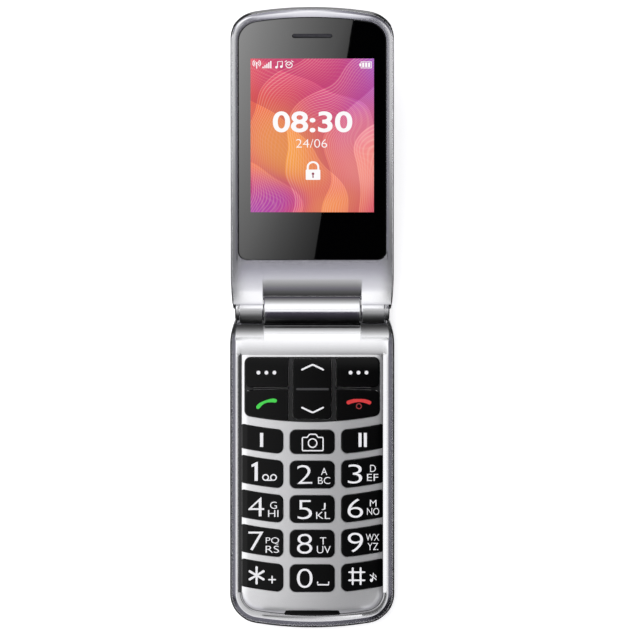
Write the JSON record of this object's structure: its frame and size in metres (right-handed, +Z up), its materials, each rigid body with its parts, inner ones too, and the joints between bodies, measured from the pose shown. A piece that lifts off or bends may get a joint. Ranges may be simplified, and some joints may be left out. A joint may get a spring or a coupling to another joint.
{
  "type": "flip phone",
  "caption": "Clamshell mobile phone, open on its back: a display half hinged to a keypad half with large raised keys.",
  "frame": {"origin": "centre of the back of the keypad half, which rests on the table", "axes": "+Z up out of the keys, +Y along the phone towards the open display half, +X across to the right of the keypad"},
  "size_m": [0.053, 0.2005, 0.0445],
  "materials": {
    "silver_plastic": "satin silver lacquer",
    "brushed_panel": "fine brushed",
    "black_plastic": "matt",
    "back_plastic": "satin dark grey",
    "battery_can": "wrapped in plain film",
    "gold_contact": "plated",
    "circuit_board": "solder mask",
    "sheet_steel": "plated sheet",
    "silicone": "translucent",
    "screw_steel": "blackened",
    "flex_film": "polyimide film",
    "window": "gloss black with a clear display area",
    "display": "lit colour display",
    "frame_metal": "pressed sheet",
    "chrome_ring": "polished",
    "camera_glass": "gloss",
    "flash_lens": "frosted",
    "key_plastic": "gloss black with printed legends"
  },
  "bodies": {
    "base": {"base_frame": "silver_plastic", "key_panel": "brushed_panel", "key_frame": "black_plastic", "rear_case": "back_plastic", "battery_cover": "back_plastic", "battery": "battery_can", "battery_contacts": "gold_contact", "main_board": "circuit_board", "shield_can": "sheet_steel", "sim_holder": "sheet_steel", "memory_card_holder": "sheet_steel", "loudspeaker": "black_plastic", "vibration_motor": "sheet_steel", "microphone": "sheet_steel", "microphone_trim": "black_plastic", "usb_port": "sheet_steel", "keypad_membrane": "silicone", "contact_domes": "gold_contact", "base_screws": "screw_steel", "hinge_cartridge": "sheet_steel", "hinge_bush": "gold_contact", "hinge_flex": "flex_film"},
    "lid": {"lid_front_cover": "silver_plastic", "lid_rear_cover": "back_plastic", "display_window": "window", "display_panel": "display", "display_frame": "frame_metal", "earpiece_speaker": "sheet_steel", "earpiece_mesh": "sheet_steel", "camera_module": "black_plastic", "camera_ring": "chrome_ring", "camera_window": "camera_glass", "flash_window": "flash_lens", "lid_screws": "screw_steel", "hinge_cam_shaft": "screw_steel", "hinge_pin": "screw_steel", "hinge_caps": "silver_plastic"},
    "key_1": {"key_1": "key_plastic"},
    "key_2": {"key_2": "key_plastic"},
    "key_3": {"key_3": "key_plastic"},
    "key_4": {"key_4": "key_plastic"},
    "key_5": {"key_5": "key_plastic"},
    "key_6": {"key_6": "key_plastic"},
    "key_7": {"key_7": "key_plastic"},
    "key_8": {"key_8": "key_plastic"},
    "key_9": {"key_9": "key_plastic"},
    "key_star": {"key_star": "key_plastic"},
    "key_0": {"key_0": "key_plastic"},
    "key_hash": {"key_hash": "key_plastic"},
    "key_memory_1": {"key_memory_1": "key_plastic"},
    "key_camera": {"key_camera": "key_plastic"},
    "key_memory_2": {"key_memory_2": "key_plastic"},
    "key_soft_left": {"key_soft_left": "key_plastic"},
    "key_soft_right": {"key_soft_right": "key_plastic"},
    "key_call": {"key_call": "key_plastic"},
    "key_end": {"key_end": "key_plastic"},
    "key_navigation": {"key_navigation": "key_plastic"}
  },
  "joints": [
    {"name": "lid_hinge", "type": "hinge", "parent": "base", "child": "lid", "pos_m": [0, 0.0512, 0.01034], "axis": [1, 0, 0], "range_deg": [0, 160]},
    {"name": "press_key_1", "type": "slide", "parent": "base", "child": "key_1", "axis": [0, 0, -1], "range_m": [0, 0.0004], "stiffness_N_per_m": 1500},
    {"name": "press_key_2", "type": "slide", "parent": "base", "child": "key_2", "axis": [0, 0, -1], "range_m": [0, 0.0004], "stiffness_N_per_m": 1500},
    {"name": "press_key_3", "type": "slide", "parent": "base", "child": "key_3", "axis": [0, 0, -1], "range_m": [0, 0.0004], "stiffness_N_per_m": 1500},
    {"name": "press_key_4", "type": "slide", "parent": "base", "child": "key_4", "axis": [0, 0, -1], "range_m": [0, 0.0004], "stiffness_N_per_m": 1500},
    {"name": "press_key_5", "type": "slide", "parent": "base", "child": "key_5", "axis": [0, 0, -1], "range_m": [0, 0.0004], "stiffness_N_per_m": 1500},
    {"name": "press_key_6", "type": "slide", "parent": "base", "child": "key_6", "axis": [0, 0, -1], "range_m": [0, 0.0004], "stiffness_N_per_m": 1500},
    {"name": "press_key_7", "type": "slide", "parent": "base", "child": "key_7", "axis": [0, 0, -1], "range_m": [0, 0.0004], "stiffness_N_per_m": 1500},
    {"name": "press_key_8", "type": "slide", "parent": "base", "child": "key_8", "axis": [0, 0, -1], "range_m": [0, 0.0004], "stiffness_N_per_m": 1500},
    {"name": "press_key_9", "type": "slide", "parent": "base", "child": "key_9", "axis": [0, 0, -1], "range_m": [0, 0.0004], "stiffness_N_per_m": 1500},
    {"name": "press_key_star", "type": "slide", "parent": "base", "child": "key_star", "axis": [0, 0, -1], "range_m": [0, 0.0004], "stiffness_N_per_m": 1500},
    {"name": "press_key_0", "type": "slide", "parent": "base", "child": "key_0", "axis": [0, 0, -1], "range_m": [0, 0.0004], "stiffness_N_per_m": 1500},
    {"name": "press_key_hash", "type": "slide", "parent": "base", "child": "key_hash", "axis": [0, 0, -1], "range_m": [0, 0.0004], "stiffness_N_per_m": 1500},
    {"name": "press_key_memory_1", "type": "slide", "parent": "base", "child": "key_memory_1", "axis": [0, 0, -1], "range_m": [0, 0.0004], "stiffness_N_per_m": 1500},
    {"name": "press_key_camera", "type": "slide", "parent": "base", "child": "key_camera", "axis": [0, 0, -1], "range_m": [0, 0.0004], "stiffness_N_per_m": 1500},
    {"name": "press_key_memory_2", "type": "slide", "parent": "base", "child": "key_memory_2", "axis": [0, 0, -1], "range_m": [0, 0.0004], "stiffness_N_per_m": 1500},
    {"name": "press_key_soft_left", "type": "slide", "parent": "base", "child": "key_soft_left", "axis": [0, 0, -1], "range_m": [0, 0.0004], "stiffness_N_per_m": 1500},
    {"name": "press_key_soft_right", "type": "slide", "parent": "base", "child": "key_soft_right", "axis": [0, 0, -1], "range_m": [0, 0.0004], "stiffness_N_per_m": 1500},
    {"name": "press_key_call", "type": "slide", "parent": "base", "child": "key_call", "axis": [0, 0, -1], "range_m": [0, 0.0004], "stiffness_N_per_m": 1500},
    {"name": "press_key_end", "type": "slide", "parent": "base", "child": "key_end", "axis": [0, 0, -1], "range_m": [0, 0.0004], "stiffness_N_per_m": 1500},
    {"name": "rock_key_navigation", "type": "hinge", "parent": "base", "child": "key_navigation", "pos_m": [0, 0.02585, 0.00789], "axis": [1, 0, 0], "range_deg": [-2, 2], "stiffness_Nm_per_rad": 0.1}
  ]
}
